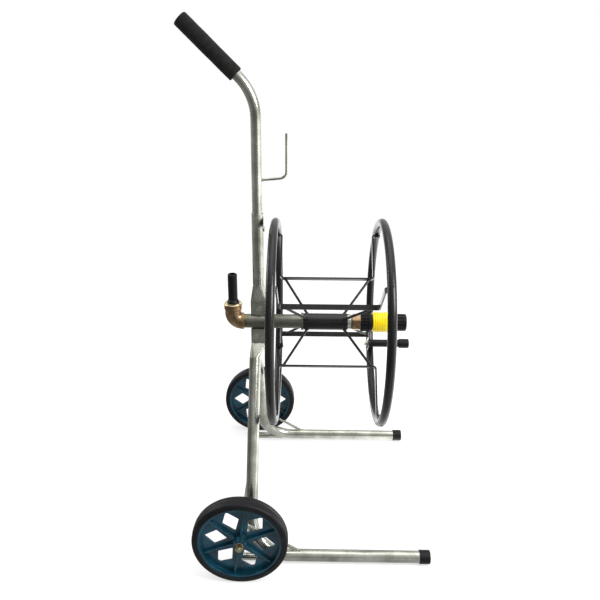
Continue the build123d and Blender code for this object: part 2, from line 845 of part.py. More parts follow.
def crank_grip():
    y, z = crank_place()
    start = grip_start_x()
    end = start + crank_grip_length
    sleeve = along_x(crank_grip_od / 2, start, end, y, z)
    knob = along_x(crank_knob_od / 2, end - crank_knob_length, end, y, z)
    knob = fillet(knob.edges().filter_by(GeomType.CIRCLE), crank_round)
    bore = along_x(crank_pin_od / 2 + crank_slip, start, end, y, z)
    recess = along_x(crank_recess_od / 2, recess_floor_x(), end, y, z)
    return sleeve + knob - bore - recess


# Hose connector

def swivel_nut():
    end = swivel_x + swivel_length
    shoulder = pipe_end_x + seal_gap + seal_thickness
    nut = hex_along_x(swivel_across, swivel_x, end)
    round_off = along_x(swivel_across / math.sqrt(3) - swivel_corner_cut, swivel_x, end)
    pocket = along_x(pipe_od / 2 + swivel_slip, swivel_x, shoulder)
    return (nut & round_off) - pocket - along_x(swivel_throat / 2, shoulder, end)


def swivel_seal():
    start = pipe_end_x + seal_gap
    ring = along_x(pipe_od / 2, start, start + seal_thickness)
    return ring - along_x(swivel_throat / 2, start, start + seal_thickness)


def fluted(blank, od, flutes, flute_od, x0, x1):
    for index in range(flutes):
        turn = 2 * math.pi * index / flutes
        y = od / 2 * math.cos(turn)
        z = axle_height + od / 2 * math.sin(turn)
        blank = blank - along_x(flute_od / 2, x0, x1, y, z)
    return blank


def tap_adaptor():
    end = adaptor_x + adaptor_length
    drum = along_x(adaptor_od / 2, adaptor_x, end)
    drum = chamfer(drum.edges().filter_by(GeomType.CIRCLE), sleeve_chamfer)
    inset = sleeve_chamfer + adaptor_flute_od
    drum = fluted(drum, adaptor_od, adaptor_flutes, adaptor_flute_od, adaptor_x, end - inset)
    spigot = along_x(swivel_throat / 2, adaptor_x - adaptor_spigot, adaptor_x)
    nipple = along_x(nipple_od / 2, end, end + nipple_length)
    return drum + spigot + nipple - along_x(water_bore / 2, adaptor_x - adaptor_spigot, end + nipple_length)


def seal_x():
    return adaptor_x + adaptor_length + nipple_length + ring_seal_od / 2


def connector_body():
    end = body_x + body_length
    tube = along_x(body_od / 2, body_x, end)
    neck = along_x(body_neck_od / 2, end, end + body_neck_length)
    pocket = along_x(nipple_od / 2 + body_bore_slip, body_x, seal_x() + ring_seal_od / 2)
    return tube + neck - pocket - along_x(water_bore / 2, body_x, end + body_neck_length)


def connector_seal():
    ring = Torus(nipple_od / 2 - ring_seal_od / 2, ring_seal_od / 2)
    return Pos(seal_x(), 0, axle_height) * Rot(0, 90, 0) * ring


def connector_sleeve():
    end = body_x + sleeve_length
    barrel = along_x(sleeve_od / 2, body_x, end)
    barrel = chamfer(barrel.edges().filter_by(GeomType.CIRCLE), sleeve_chamfer)
    for index in range(sleeve_grooves):
        start = body_x + sleeve_chamfer * 2 + sleeve_groove_pitch * index
        end_of_groove = start + sleeve_groove_width
        ring = along_x(sleeve_od, start, end_of_groove)
        floor = along_x(sleeve_od / 2 - sleeve_groove_depth, start, end_of_groove)
        barrel = barrel - (ring - floor)
    return barrel - along_x(body_od / 2 + sleeve_slip, body_x, end)


def hose_nut():
    end = hose_nut_x + hose_nut_length
    drum = along_x(hose_nut_od / 2, hose_nut_x, end)
    drum = chamfer(drum.edges().filter_by(GeomType.CIRCLE), sleeve_chamfer)
    inset = sleeve_chamfer + hose_nut_flute_od
    drum = fluted(drum, hose_nut_od, hose_nut_flutes, hose_nut_flute_od, hose_nut_x, end - inset)
    pocket = along_x(body_neck_od / 2, hose_nut_x, hose_nut_x + body_neck_length)
    return drum - pocket - along_x(hose_bore / 2, hose_nut_x + body_neck_length, end)


pieces = {
    "column_tube": column_tube(),
    "handle_tube": handle_tube(),
    "handle_grip": handle_grip(),
    "handle_bolt": handle_bolt(),
    "handle_nut": handle_nut(),
    "handle_screw": handle_screw(),
    "hose_hook": hose_hook(),
    "axle_pipe": axle_pipe(),
    "upper_lug": upper_lug(),
    "lower_lug": lower_lug(),
    "frame_bolts": frame_bolts(),
    "frame_nuts": frame_nuts(),
    "brass_elbow": brass_elbow(),
    "inlet_tail": inlet_tail(),
    "wheel_axle": wheel_axle(),
    "axle_spacers": axle_spacers(),
    "axle_washers": axle_washers(),
    "axle_nuts": axle_nuts(),
    "rear_stop": rear_stop(),
    "front_collar": front_collar(),
    "reel_core": reel_core(),
    "rear_core_bush": core_bush(core_x),
    "front_core_bush": core_bush(core_end_x - core_bush_length),
    "rear_rim": rim(rear_rim_x),
    "front_rim": rim(front_rim_x),
    "rim_rivets": rim_rivets(),
    "rear_struts": struts(False),
    "front_struts": struts(True),
    "crank_plate": crank_plate(),
    "crank_pin": crank_pin(),
    "crank_nut": crank_nut(),
    "crank_grip": crank_grip(),
    "swivel_nut": swivel_nut(),
    "swivel_seal": swivel_seal(),
    "tap_adaptor": tap_adaptor(),
    "connector_body": connector_body(),
    "connector_seal": connector_seal(),
    "connector_sleeve": connector_sleeve(),
    "hose_nut": hose_nut(),
}
for index in range(strip_count):
    pieces["drum_strip_" + str(index + 1)] = drum_strip(index)
for name, side, wheel_turn in (("left", 1, left_wheel_turn), ("right", -1, right_wheel_turn)):
    pieces[name + "_leg_tube"] = leg_tube(side)
    pieces[name + "_leg_cap"] = leg_cap(side)
    pieces[name + "_heel_bar"] = heel_bar(side)
    pieces[name + "_axle_stay"] = axle_stay(side)
    pieces[name + "_wheel_disc"] = wheel_disc(side, wheel_turn)
    pieces[name + "_tyre"] = tyre(side)
    pieces[name + "_hub_bush"] = hub_bush(side)

os.makedirs("parts", exist_ok=True)
for name, shape in pieces.items():
    export_step(shape, "parts/" + name + ".step")
print(len(pieces), "pieces, column at X", round(column_x, 2))
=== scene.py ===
import json
import math

import bmesh
import bpy
import numpy as np
from mathutils import Matrix, Vector, noise


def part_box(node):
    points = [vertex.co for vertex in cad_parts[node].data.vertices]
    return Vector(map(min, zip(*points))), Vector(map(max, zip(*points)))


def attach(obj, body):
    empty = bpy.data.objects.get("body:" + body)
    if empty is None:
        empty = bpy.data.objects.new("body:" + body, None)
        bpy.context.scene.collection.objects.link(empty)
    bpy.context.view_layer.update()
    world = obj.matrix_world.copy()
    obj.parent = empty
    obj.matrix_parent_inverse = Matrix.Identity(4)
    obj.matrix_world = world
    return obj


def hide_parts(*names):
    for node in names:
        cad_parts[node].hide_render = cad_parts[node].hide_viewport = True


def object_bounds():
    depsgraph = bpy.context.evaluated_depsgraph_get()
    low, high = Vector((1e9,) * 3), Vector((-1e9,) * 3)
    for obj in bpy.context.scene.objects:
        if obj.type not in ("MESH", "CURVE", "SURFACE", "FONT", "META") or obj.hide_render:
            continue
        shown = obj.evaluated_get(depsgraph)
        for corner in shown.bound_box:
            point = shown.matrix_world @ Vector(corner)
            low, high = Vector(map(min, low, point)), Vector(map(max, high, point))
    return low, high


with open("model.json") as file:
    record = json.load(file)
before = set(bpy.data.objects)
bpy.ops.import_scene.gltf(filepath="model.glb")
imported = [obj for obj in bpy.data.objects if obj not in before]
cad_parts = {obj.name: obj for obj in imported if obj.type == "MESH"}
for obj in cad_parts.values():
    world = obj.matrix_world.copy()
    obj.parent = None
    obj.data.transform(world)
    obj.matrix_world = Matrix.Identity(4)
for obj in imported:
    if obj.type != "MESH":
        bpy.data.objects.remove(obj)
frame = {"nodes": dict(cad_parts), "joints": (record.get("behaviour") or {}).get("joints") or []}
cadBox = [list(corner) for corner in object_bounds()]
nodes = frame["nodes"]
joints = {joint["name"]: joint for joint in frame["joints"]}
mm = 0.001
reelAxis = Vector(joints["reel_spin"]["pos_m"])


def linear(hexText):  # sRGB hex to linear red, green, blue and alpha
    parts = [int(hexText[i:i + 2], 16) / 255 for i in (1, 3, 5)]
    return [c / 12.92 if c <= 0.04045 else ((c + 0.055) / 1.055) ** 2.4 for c in parts] + [1.0]


def perMetre(sizeInMm):  # scale of a pattern whose features are this big
    return 1000.0 / sizeInMm


def addNode(tree, kind, wires=None, **settings):  # one node with its settings, values and links
    node = tree.nodes.new(kind)
    for name, value in settings.items():
        setattr(node, name, value)
    for key, value in (wires or {}).items():
        if isinstance(value, bpy.types.NodeSocket):
            tree.links.new(value, node.inputs[key])
        else:
            node.inputs[key].default_value = value
    return node


def along(tree, place, direction):  # how far a place lies in a direction
    wires = {0: place, 1: direction}
    return addNode(tree, "ShaderNodeVectorMath", wires, operation="DOT_PRODUCT").outputs["Value"]


def ramp(tree, value, start, end, first, last):  # first to last while the value goes from start to end
    return addNode(tree, "ShaderNodeMapRange", {0: value, 1: start, 2: end, 3: first, 4: last}).outputs[0]


def startMaterial(name):
    material = bpy.data.materials.new(name)
    material.use_nodes = True
    tree = material.node_tree
    tree.nodes.clear()
    shader = addNode(tree, "ShaderNodeBsdfPrincipled")
    addNode(tree, "ShaderNodeOutputMaterial", {"Surface": shader.outputs[0]})
    place = addNode(tree, "ShaderNodeTexCoord").outputs["Object"]
    return material, tree, shader, place


usualDrift = (0.3, 0.7)  # part of a noise's range over which a look goes from one end to the other
noiseDetail = {"cloud": 4.0, "grain": 2.0}
edgeSamples = 4


def softNoise(tree, place, scale, detail):
    wires = {"Vector": place, "Scale": scale, "Detail": detail}
    return addNode(tree, "ShaderNodeTexNoise", wires).outputs[0]


# colour drifts over one noise, roughness and bump follow another, and edges are softened
def finishMaterial(tree, shader, cloud, grain, look):
    low, high = look.get("drift", usualDrift)
    share = ramp(tree, cloud, low, high, 0.0, 1.0)
    colours = {0: share, 6: linear(look["deep"]), 7: linear(look["pale"])}
    tint = addNode(tree, "ShaderNodeMix", colours, data_type="RGBA")
    rough = ramp(tree, grain, low, high, look["smooth"], look["rough"])
    edge = addNode(tree, "ShaderNodeBevel", {"Radius": look["edge"] * mm}, samples=edgeSamples)
    bump = addNode(tree, "ShaderNodeBump", {"Strength": look["bump"], "Distance": look["depth"] * mm,
                                            "Height": grain, "Normal": edge.outputs[0]})
    wires = {"Base Color": tint.outputs[2], "Roughness": rough, "Normal": bump.outputs[0]}
    for name, socket in wires.items():
        tree.links.new(socket, shader.inputs[name])
    shader.inputs["Metallic"].default_value = look["metal"]
    shader.inputs["Specular IOR Level"].default_value = look["gloss"]
    return tint


# Zinc-plated drawn steel tube: a slightly milky olive-grey mirror with faint lines along the tube
zincTube = {"gloss": 0.5, "deep": "#8a8c7f", "pale": "#bbbdb4", "smooth": 0.17, "rough": 0.28,
            "metal": 1.0, "edge": 0.4, "cloud": 34, "line": 0.9, "lineLength": 90, "bump": 0.025,
            "depth": 0.05}


def zincPlatedTube(name, lengthwise):
    material, tree, shader, place = startMaterial(name)
    cloud = softNoise(tree, place, perMetre(zincTube["cloud"]), noiseDetail["cloud"])
    scales = [perMetre(zincTube["lineLength" if axis == lengthwise else "line"]) for axis in "XYZ"]
    lined = addNode(tree, "ShaderNodeMapping", {"Vector": place, "Scale": scales})
    lines = softNoise(tree, lined.outputs[0], 1.0, noiseDetail["grain"])
    finishMaterial(tree, shader, cloud, lines, zincTube)
    return material


# Hot-dipped steel pipe: the same zinc, greyer and duller
dippedPipe = {"gloss": 0.5, "deep": "#53544b", "pale": "#797a70", "smooth": 0.3, "rough": 0.44,
              "metal": 1.0, "edge": 0.4, "cloud": 26, "grain": 1.2, "bump": 0.08, "depth": 0.06}

# Bright zinc-plated fasteners: paler than the tube, with an even grain
zincBolt = {"gloss": 0.5, "deep": "#a5a294", "pale": "#cfccc0", "smooth": 0.2, "rough": 0.36,
            "metal": 1.0, "edge": 0.3, "cloud": 6, "grain": 0.8, "bump": 0.08, "depth": 0.05}

# Yellow passivated zinc: the same finish with a straw tint, and darker than the bright fasteners as painted
# shade on the shaded axle nuts
strawZincAndShade = {"gloss": 0.5, "deep": "#7d6c45", "pale": "#a8955f", "smooth": 0.22, "rough": 0.38,
              "metal": 1.0, "edge": 0.3, "cloud": 6, "grain": 0.8, "bump": 0.08, "depth": 0.05}

# Black stove enamel: half gloss, with the low waves of orange peel
enamel = {"gloss": 0.3, "deep": "#0b0b0a", "pale": "#151514", "smooth": 0.2, "rough": 0.34,
          "metal": 0.0, "edge": 0.5, "cloud": 45, "grain": 1.8, "bump": 0.12, "depth": 0.12}

# Injection-moulded black plastic with a fine spark-eroded grain, drawn coarser than life so that it shows
blackMoulding = {"gloss": 0.22, "deep": "#040404", "pale": "#090909", "smooth": 0.36, "rough": 0.52,
                 "metal": 0.0, "edge": 0.5, "cloud": 9, "grain": 0.7, "bump": 0.18, "depth": 0.12}

# Glossy yellow plastic, opaque and even
yellowMoulding = {"gloss": 0.4, "deep": "#dfc200", "pale": "#ead306", "smooth": 0.24, "rough": 0.34,
                  "metal": 0.0, "edge": 0.4, "cloud": 14, "grain": 0.9, "bump": 0.05, "depth": 0.05}

# Dark teal wheel plastic: glossy, with slow flow marks from the mould
tealMoulding = {"gloss": 0.4, "deep": "#05222d", "pale": "#0a3f51", "smooth": 0.14, "rough": 0.26,
                "metal": 0.0, "edge": 0.6, "cloud": 22, "grain": 1.2, "bump": 0.06, "depth": 0.08}

# Solid tyre rubber: dull charcoal, a little paler in patches
tyreRubber = {"gloss": 0.2, "deep": "#07080a", "pale": "#111214", "smooth": 0.42, "rough": 0.62,
              "metal": 0.0, "edge": 0.4, "cloud": 18, "grain": 0.9, "bump": 0.25, "depth": 0.2}

# Closed-cell foam: hardly any gloss, tiny cells drawn at twice their size so that they show
gripFoamLook = {"gloss": 0.2, "deep": "#0a0a0a", "pale": "#1a1a19", "smooth": 0.82, "rough": 0.96,
                "metal": 0.0, "edge": 0.5, "cloud": 7, "grain": 1.1, "bump": 0.5, "depth": 0.35,
                "drift": (0.25, 0.75)}

# Plain white nylon: soft sheen, slightly yellow
nylonLook = {"gloss": 0.4, "deep": "#cfcbb9", "pale": "#e4e1d4", "smooth": 0.4, "rough": 0.52,
             "metal": 0.0, "edge": 0.3, "cloud": 8, "grain": 0.6, "bump": 0.06, "depth": 0.05}

# Weld bead under zinc: dull, lumpy and a little darker than the tube
weldLook = {"gloss": 0.5, "deep": "#77756a", "pale": "#a3a195", "smooth": 0.32, "rough": 0.5,
            "metal": 1.0, "edge": 0.1, "cloud": 4, "grain": 0.8, "bump": 0.2, "depth": 0.15}


def cloudedFinish(tree, shader, place, look):  # drifts over soft clouds, with a fine even grain
    cloud = softNoise(tree, place, perMetre(look["cloud"]), noiseDetail["cloud"])
    grain = softNoise(tree, place, perMetre(look["grain"]), noiseDetail["grain"])
    return finishMaterial(tree, shader, cloud, grain, look)


def cloudedMaterial(name, look):
    material, tree, shader, place = startMaterial(name)
    cloudedFinish(tree, shader, place, look)
    return material


# Cast brass: brown and satin where it came from the mould, pale where its top was turned, and dull olive
# on the plated collar that meets the pipe
castBrass = {"gloss": 0.5, "deep": "#6f573e", "pale": "#a48a6c", "smooth": 0.24, "rough": 0.4,
             "metal": 1.0, "edge": 0.5, "cloud": 12, "grain": 1.4, "bump": 0.16, "depth": 0.12,
             "turned": "#e0d3a8", "turnedBand": 2.4, "soft": 0.3, "plated": "#6a6550", "platedRun": 7.5}


def brassMaterial(name, turnedTop, pipeEnd):
    material, tree, shader, place = startMaterial(name)
    tint = cloudedFinish(tree, shader, place, castBrass)
    axes = addNode(tree, "ShaderNodeSeparateXYZ", {0: place}).outputs
    soft = castBrass["soft"] * mm
    edges = ((axes["Z"], turnedTop - castBrass["turnedBand"] * mm, "turned"),
             (axes["X"], pipeEnd - castBrass["platedRun"] * mm, "plated"))
    for reach, edge, colour in edges:
        band = ramp(tree, reach, edge, edge + soft, 0.0, 1.0)
        colours = {0: band, 6: tint.outputs[2], 7: linear(castBrass[colour])}
        tint = addNode(tree, "ShaderNodeMix", colours, data_type="RGBA")
    tree.links.new(tint.outputs[2], shader.inputs["Base Color"])
    return material


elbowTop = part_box("brass_elbow")[1].z
materials = {
    "uprightTube": zincPlatedTube("zinc plated tube upright", "Z"),
    "forwardTube": zincPlatedTube("zinc plated tube forward", "X"),
    "crossTube": zincPlatedTube("zinc plated rod across", "Y"),
    "pipe": cloudedMaterial("hot dipped pipe", dippedPipe),
    "bolt": cloudedMaterial("bright zinc fasteners", zincBolt),
    "enamel": cloudedMaterial("black stove enamel", enamel),
    "black": cloudedMaterial("moulded black plastic", blackMoulding),
    "yellow": cloudedMaterial("moulded yellow plastic", yellowMoulding),
    "teal": cloudedMaterial("moulded teal plastic", tealMoulding),
    "tyre": cloudedMaterial("solid tyre rubber", tyreRubber),
    "foam": cloudedMaterial("closed cell foam", gripFoamLook),
    "nylon": cloudedMaterial("white nylon", nylonLook),
    "weld": cloudedMaterial("zinc plated weld bead", weldLook),
    "elbow": brassMaterial("cast brass elbow", elbowTop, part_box("axle_pipe")[0].x),
    "brass": cloudedMaterial("cast brass", castBrass),
    "strawZincAndShade": cloudedMaterial("yellow zinc fasteners with painted shade", strawZincAndShade),
}
finishes = {
    "uprightTube": ["column_tube", "handle_tube", "hose_hook", "upper_lug", "lower_lug"],
    "forwardTube": ["left_leg_tube", "right_leg_tube", "left_heel_bar", "right_heel_bar",
                    "left_axle_stay", "right_axle_stay"],
    "crossTube": ["wheel_axle"],
    "pipe": ["axle_pipe", "rear_stop"],
    "bolt": ["handle_bolt", "handle_nut", "handle_screw", "frame_bolts", "frame_nuts", "axle_spacers",
             "front_collar", "crank_pin", "crank_nut"],
    # axle washers and nuts: straw zinc, darkened as painted shade
    "strawZincAndShade": ["axle_washers", "axle_nuts"],
    "enamel": ["reel_core", "rear_rim", "front_rim", "rim_rivets", "rear_struts", "front_struts",
               "crank_plate", "drum_strip_1", "drum_strip_2", "drum_strip_3", "drum_strip_4"],
    "black": ["inlet_tail", "left_leg_cap", "right_leg_cap", "tap_adaptor", "connector_body", "hose_nut",
              "crank_grip", "swivel_seal", "connector_seal"],
    "yellow": ["connector_sleeve"],
    "teal": ["left_wheel_disc", "right_wheel_disc"],
    "tyre": ["left_tyre", "right_tyre"],
    "foam": ["handle_grip"],
    "nylon": ["rear_core_bush", "front_core_bush", "left_hub_bush", "right_hub_bush"],
    "elbow": ["brass_elbow"],
    "brass": ["swivel_nut"],
}


def dress(thing, material):
    if not thing.material_slots:
        thing.data.materials.append(material)
    for slot in thing.material_slots:
        slot.material = material


for finish, names in finishes.items():
    for name in names:
        dress(nodes[name], materials[finish])
print("finishes on", sum(len(names) for names in finishes.values()), "nodes")


def addPiece(name, mesh, material, body):
    piece = bpy.data.objects.new(name, mesh)
    bpy.context.scene.collection.objects.link(piece)
    mesh.materials.clear()
    mesh.materials.append(material)
    for face in mesh.polygons:
        face.use_smooth = True
    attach(piece, body)
    return piece


# white studio floor: plain under the cart, and lost in the white of the sky further out
stage = {"floor": "#fbfbfa", "floorSize": 60.0, "floorRough": 0.9, "whiteFrom": 0.9, "whiteTo": 2.4,
         "whiteNear": 0.6}
# what shiny parts mirror of that floor: paler close to the cart, dim around it, with one bright stripe
room = {"from": 0.3, "to": 0.7, "near": 0.6, "dim": 0.25}
stripe = {"across": (0.92, 0.39, 0.0), "from": 0.1, "to": 0.0, "power": 3.0}
# and lit cards that lie on it to the right and, much weaker, to the left
cards = {
    "rightCard": {"towards": (0.78, 0.63, 0.0), "from": 0.0, "to": 0.45, "power": 2.3,
                  "fadeFrom": 0.5, "fadeTo": 2.5, "behind": 1.3},
    "leftCard": {"towards": (-0.85, 0.53, 0.0), "from": 0.4, "to": 2.0, "power": 0.2,
                 "fadeFrom": 0.6, "fadeTo": 2.0, "behind": 0.5},
}


def seenFloor(tree, shader, away):  # the floor as the camera sees it
    far = ramp(tree, away, stage["whiteFrom"], stage["whiteTo"], stage["whiteNear"], 1.0)
    white = addNode(tree, "ShaderNodeEmission", {"Strength": 1.0})
    return addNode(tree, "ShaderNodeMixShader", {0: far, 1: shader.outputs[0], 2: white.outputs[0]})


def mirroredFloor(tree, place, away):  # the floor as shiny parts mirror it
    aside = addNode(tree, "ShaderNodeMath", {0: along(tree, place, stripe["across"])},
                    operation="ABSOLUTE")
    plain = ramp(tree, away, room["from"], room["to"], room["near"], room["dim"])
    bright = ramp(tree, away, room["from"], room["to"], room["near"], stripe["power"])
    power = ramp(tree, aside.outputs[0], stripe["from"], stripe["to"], plain, bright)
    depth = addNode(tree, "ShaderNodeSeparateXYZ", {0: place}).outputs["Y"]
    for card in cards.values():
        glow = ramp(tree, depth, card["fadeFrom"], card["fadeTo"], card["power"], card["behind"])
        lit = ramp(tree, along(tree, place, card["towards"]), card["from"], card["to"], 0.0, glow)
        power = addNode(tree, "ShaderNodeMath", {0: power, 1: lit}, operation="ADD").outputs[0]
    return addNode(tree, "ShaderNodeEmission", {"Strength": power})


def floorMaterial():
    material, tree, shader, place = startMaterial("pale studio floor")
    shader.inputs["Base Color"].default_value = linear(stage["floor"])
    shader.inputs["Roughness"].default_value = stage["floorRough"]
    away = addNode(tree, "ShaderNodeVectorMath", {0: place}, operation="LENGTH").outputs["Value"]
    seen = seenFloor(tree, shader, away)
    mirrored = mirroredFloor(tree, place, away)
    ray = addNode(tree, "ShaderNodeLightPath").outputs["Is Glossy Ray"]
    both = addNode(tree, "ShaderNodeMixShader", {0: ray, 1: seen.outputs[0], 2: mirrored.outputs[0]})
    output = next(node for node in tree.nodes if node.type == "OUTPUT_MATERIAL")
    tree.links.new(both.outputs[0], output.inputs["Surface"])
    return material


def buildFloor():
    half = stage["floorSize"] / 2
    corners = [(-half, -half, 0), (half, -half, 0), (half, half, 0), (-half, half, 0)]
    mesh = bpy.data.meshes.new("studioFloor")
    mesh.from_pydata(corners, [], [(0, 1, 2, 3)])
    floor = bpy.data.objects.new("studioFloor", mesh)
    bpy.context.scene.collection.objects.link(floor)
    mesh.materials.append(floorMaterial())


# white to the camera, while the light that it gives is stronger from above and from the right
sky = {"colour": "#ffffff", "towards": (0.5, 0.15, 0.85), "from": -0.4, "to": 0.7, "dim": 0.15, "lit": 1.0}


def buildSky():
    world = bpy.data.worlds.new("studio")
    world.use_nodes = True
    bpy.context.scene.world = world
    tree = world.node_tree
    tree.nodes.clear()
    direction = addNode(tree, "ShaderNodeTexCoord").outputs["Generated"]
    power = ramp(tree, along(tree, direction, sky["towards"]), sky["from"], sky["to"], sky["dim"], sky["lit"])
    colour = linear(sky["colour"])
    glow = addNode(tree, "ShaderNodeBackground", {"Color": colour, "Strength": power})
    white = addNode(tree, "ShaderNodeBackground", {"Color": colour, "Strength": 1.0})
    ray = addNode(tree, "ShaderNodeLightPath").outputs["Is Camera Ray"]
    both = addNode(tree, "ShaderNodeMixShader", {0: ray, 1: glow.outputs[0], 2: white.outputs[0]})
    addNode(tree, "ShaderNodeOutputWorld", {"Surface": both.outputs[0]})


# three soft lamps, aimed at the middle of the cart
lamps = {
    "rightSoftbox": {"place": (1.7, -0.9, 1.7), "size": 1.0, "watts": 60},
    "topSoftbox": {"place": (0.1, 0.2, 2.6), "size": 2.2, "watts": 26},
    "leftStrip": {"place": (-1.8, 0.6, 1.2), "size": 0.9, "watts": 14},
}


def buildLamps():
    aim = (Vector(cadBox[0]) + Vector(cadBox[1])) / 2
    for name, lamp in lamps.items():
        data = bpy.data.lights.new(name, "AREA")
        data.energy = lamp["watts"]
        data.size = lamp["size"]
        light = bpy.data.objects.new(name, data)
        light.location = lamp["place"]
        light.rotation_euler = (aim - light.location).to_track_quat("-Z", "Y").to_euler()
        bpy.context.scene.collection.objects.link(light)


# the photo's camera: place in metres, angles in degrees, lens and sensor width in millimetres
photoView = {"place": (-0.005, -1.136, 0.875), "pitch": 21.0, "yaw": -0.64, "roll": 0.4, "lens": 38.4,
             "sensor": 36.0, "nearest": 0.01}


def buildCamera():
    data = bpy.data.cameras.new("photoCamera")
    data.sensor_fit = "HORIZONTAL"
    data.sensor_width = photoView["sensor"]
    data.lens = photoView["lens"]
    data.clip_start = photoView["nearest"]
    camera = bpy.data.objects.new("photoCamera", data)
    bpy.context.scene.collection.objects.link(camera)
    pitch, yaw, roll = (math.radians(photoView[key]) for key in ("pitch", "yaw", "roll"))
    ahead = Vector((math.sin(yaw) * math.cos(pitch), math.cos(yaw) * math.cos(pitch), -math.sin(pitch)))
    level = Vector((math.cos(yaw), -math.sin(yaw), 0))
    upright = level.cross(ahead)
    right = level * math.cos(roll) + upright * math.sin(roll)
    above = upright * math.cos(roll) - level * math.sin(roll)
    turn = Matrix((right, above, -ahead)).transposed().to_4x4()
    camera.matrix_world = Matrix.Translation(photoView["place"]) @ turn
    bpy.context.scene.camera = camera
    bpy.context.scene.view_settings.view_transform = "Standard"


buildFloor()
buildSky()
buildLamps()
buildCamera()
print("stage, lamps and camera ready")


def nodePoints(name):
    return np.array([vertex.co for vertex in nodes[name].data.vertices])


def longAxis(points):  # middle, direction and half length of a long thin cloud of points
    direction = np.linalg.svd(points - points.mean(0), full_matrices=False)[2][0]
    spread = (points - points.mean(0)) @ direction
    middle = points.mean(0) + direction * (spread.max() + spread.min()) / 2
    return Vector(middle), Vector(direction), (spread.max() - spread.min()) / 2


def around(middle, direction, radius, sides):  # points of a circle
    sideways = direction.orthogonal().normalized()
    other = direction.cross(sideways).normalized()
    turns = [2 * math.pi * step / sides for step in range(sides)]
    return [middle + (sideways * math.cos(turn) + other * math.sin(turn)) * radius for turn in turns]


samePoint = 1e-7  # metres under which two points are one


def lathe(name, profile, sides, middle, direction):  # (reach, radius) pairs turned about an axis
    shape = bmesh.new()
    rows = []
    for reach, radius in profile:
        circle = around(middle + direction * reach, direction, radius, sides)
        rows.append([shape.verts.new(point) for point in circle])
    for low, high in zip(rows, rows[1:]):
        for step in range(sides):
            after = (step + 1) % sides
            shape.faces.new((low[step], low[after], high[after], high[step]))
    bmesh.ops.remove_doubles(shape, verts=shape.verts, dist=samePoint)
    bmesh.ops.recalc_face_normals(shape, faces=shape.faces)
    mesh = bpy.data.meshes.new(name)
    shape.to_mesh(mesh)
    shape.free()
    return mesh


# foam grip: a closed sleeve with round ends and the slight unevenness of foam, in place of its plain solid
gripSettings = {"rings": 110, "sides": 72, "lip": 2.2, "round": 3.2, "arcSteps": 6, "sag": 0.22,
                "swell": 18.0, "inset": 0.5, "mouth": 6.0, "slip": 0.05, "fill": 0.95}


def buildGrip():
    middle, direction, half = longAxis(nodePoints("handle_grip"))
    if direction.z < 0:
        direction = -direction
    low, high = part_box("handle_grip")
    radius = (high.y - low.y) / 2
    tubeLow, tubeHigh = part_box("handle_tube")
    inner = (tubeHigh.y - tubeLow.y) / 2 + gripSettings["slip"] * mm
    lip = gripSettings["lip"] * mm
    bend = gripSettings["round"] * mm
    turns = [math.pi / 2 * step / gripSettings["arcSteps"] for step in range(gripSettings["arcSteps"] + 1)]
    profile = [(-half + gripSettings["mouth"] * mm, 0.0), (-half + gripSettings["mouth"] * mm, inner)]
    profile.append((-half, inner))
    profile += [(-half + lip * (1 - math.cos(turn)), radius - lip + lip * math.sin(turn)) for turn in turns]
    run = 2 * half - lip - bend
    for step in range(1, gripSettings["rings"]):
        profile.append((-half + lip + run * step / gripSettings["rings"], radius))
    for turn in turns:
        profile.append((half - bend + bend * math.sin(turn), radius - bend + bend * math.cos(turn)))
    profile.append((half, 0.0))
    mesh = lathe("gripFoam", profile, gripSettings["sides"], middle, direction)
    for vertex in mesh.vertices:
        offset = vertex.co - middle
        out = offset - direction * offset.dot(direction)
        if out.length > (inner + radius) / 2:
            wave = noise.noise(vertex.co / (gripSettings["swell"] * mm))
            vertex.co += out.normalized() * (wave - gripSettings["inset"]) * gripSettings["sag"] * mm
    grip = addPiece("gripFoam", mesh, materials["foam"], "frame")
    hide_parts("handle_grip")


buildGrip()
print("foam grip made")


# tyres: a low crown with a mould seam round its middle, round shoulders and a step on each side wall
tyreSettings = {"sides": 168, "shoulder": 4.4, "arcSteps": 8, "crown": 0.5, "step": 0.6, "bead": 2.2,
                "seam": 0.25, "seamHalf": 0.5}


def tyreProfile(half, inner, outer):
    size = {key: value * mm for key, value in tyreSettings.items()}
    flank = half - size["step"]
    edge = outer - size["crown"]
    bend = size["shoulder"]
    side = [(half, inner), (half, inner + size["bead"]), (flank, inner + size["bead"] + size["step"])]
    for step in range(tyreSettings["arcSteps"] + 1):
        turn = math.pi / 2 * step / tyreSettings["arcSteps"]
        side.append((flank - bend * (1 - math.cos(turn)), edge - bend * (1 - math.sin(turn))))
    side.append((2 * size["seamHalf"], outer - size["seam"]))
    side.append((size["seamHalf"], outer))
    left = [(-reach, radius) for reach, radius in reversed(side)]
    return side + left + [side[0]]


def buildTyre(side):
    low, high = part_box(side + "_tyre")
    middle = (low + high) / 2
    points = nodePoints(side + "_tyre")
    reach = np.hypot(points[:, 0] - middle.x, points[:, 2] - middle.z)
    profile = tyreProfile((high.y - low.y) / 2, reach.min(), reach.max())
    mesh = lathe(side + "TyreRubber", profile, tyreSettings["sides"], middle, Vector((0, 1, 0)))
    rubber = addPiece(side + "TyreRubber", mesh, materials["tyre"], side + "_wheel")
    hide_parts(side + "_tyre")


for side in ("left", "right"):
    buildTyre(side)
print("tyres made")


# plastic collar at the foot of the inlet tail, which seals it on the elbow
collarSettings = {"sides": 64, "radius": 11.6, "edge": 0.9, "height": 6.4, "lap": 0.4}


